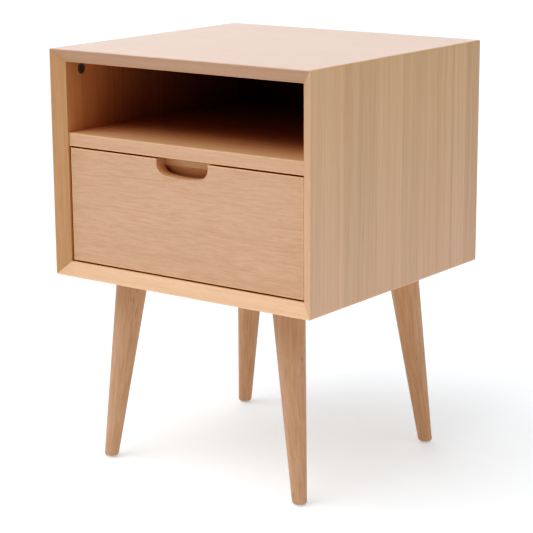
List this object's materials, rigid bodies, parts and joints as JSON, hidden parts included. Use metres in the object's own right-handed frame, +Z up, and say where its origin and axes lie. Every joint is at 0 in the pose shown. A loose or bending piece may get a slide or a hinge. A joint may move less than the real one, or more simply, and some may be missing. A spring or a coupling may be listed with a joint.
{
  "type": "nightstand",
  "caption": "Oak nightstand with a bevelled box carcass, an open compartment, one drawer with a finger cut-out on ball slides, and splayed tapered legs.",
  "frame": {"origin": "centre of the footprint, on the floor under the feet", "axes": "+Z up, the front faces -Y, +X to the right seen from the front"},
  "size_m": [0.45, 0.428, 0.608],
  "materials": {
    "oak": "matt oiled, straight fine grain",
    "leg_oak": "matt oiled, turned",
    "drawer_wood": "matt clear lacquer",
    "plywood": "matt veneer",
    "dowel_wood": "raw beech",
    "zinc_alloy": "dark die-cast, satin",
    "steel": "zinc plated",
    "black_steel": "satin black powder coat",
    "slide_steel": "zinc plated, satin",
    "nylon": "moulded"
  },
  "bodies": {
    "carcass": {"top_panel": "oak", "bottom_panel": "oak", "left_side_panel": "oak", "right_side_panel": "oak", "divider_shelf": "oak", "back_panel": "plywood", "mitre_cam_locks": "zinc_alloy", "mitre_bolts": "steel", "mitre_dowels": "dowel_wood", "shelf_cam_locks": "zinc_alloy", "shelf_bolts": "steel", "shelf_dowels": "dowel_wood", "front_left_leg": "leg_oak", "front_right_leg": "leg_oak", "rear_left_leg": "leg_oak", "rear_right_leg": "leg_oak", "leg_plates": "black_steel", "leg_plate_screws": "steel", "hanger_bolts": "steel", "foot_glides": "nylon", "left_cabinet_rail": "slide_steel", "right_cabinet_rail": "slide_steel", "cabinet_rail_screws": "steel"},
    "drawer": {"drawer_front": "oak", "drawer_box_front": "drawer_wood", "drawer_left_side": "drawer_wood", "drawer_right_side": "drawer_wood", "drawer_back": "drawer_wood", "drawer_bottom": "plywood", "drawer_dowels": "dowel_wood", "drawer_front_screws": "steel", "left_drawer_rail": "slide_steel", "right_drawer_rail": "slide_steel", "drawer_rail_screws": "steel"},
    "left_outer_ball_cage": {"left_outer_ball_cage": "slide_steel"},
    "left_middle_rail": {"left_middle_rail": "slide_steel"},
    "left_inner_ball_cage": {"left_inner_ball_cage": "slide_steel"},
    "right_outer_ball_cage": {"right_outer_ball_cage": "slide_steel"},
    "right_middle_rail": {"right_middle_rail": "slide_steel"},
    "right_inner_ball_cage": {"right_inner_ball_cage": "slide_steel"}
  },
  "joints": [
    {"name": "drawer_slide", "type": "slide", "parent": "carcass", "child": "drawer", "axis": [0, -1, 0], "range_m": [0, 0.3]},
    {"name": "left_outer_ball_cage_slide", "type": "slide", "parent": "carcass", "child": "left_outer_ball_cage", "axis": [0, -1, 0], "range_m": [0, 0.075]},
    {"name": "left_middle_rail_slide", "type": "slide", "parent": "carcass", "child": "left_middle_rail", "axis": [0, -1, 0], "range_m": [0, 0.15]},
    {"name": "left_inner_ball_cage_slide", "type": "slide", "parent": "carcass", "child": "left_inner_ball_cage", "axis": [0, -1, 0], "range_m": [0, 0.225]},
    {"name": "right_outer_ball_cage_slide", "type": "slide", "parent": "carcass", "child": "right_outer_ball_cage", "axis": [0, -1, 0], "range_m": [0, 0.075]},
    {"name": "right_middle_rail_slide", "type": "slide", "parent": "carcass", "child": "right_middle_rail", "axis": [0, -1, 0], "range_m": [0, 0.15]},
    {"name": "right_inner_ball_cage_slide", "type": "slide", "parent": "carcass", "child": "right_inner_ball_cage", "axis": [0, -1, 0], "range_m": [0, 0.225]}
  ],
  "couplings": [
    {"joint": "left_outer_ball_cage_slide", "follows": "drawer_slide", "ratio": 0.25},
    {"joint": "left_middle_rail_slide", "follows": "drawer_slide", "ratio": 0.5},
    {"joint": "left_inner_ball_cage_slide", "follows": "drawer_slide", "ratio": 0.75},
    {"joint": "right_outer_ball_cage_slide", "follows": "drawer_slide", "ratio": 0.25},
    {"joint": "right_middle_rail_slide", "follows": "drawer_slide", "ratio": 0.5},
    {"joint": "right_inner_ball_cage_slide", "follows": "drawer_slide", "ratio": 0.75}
  ]
}
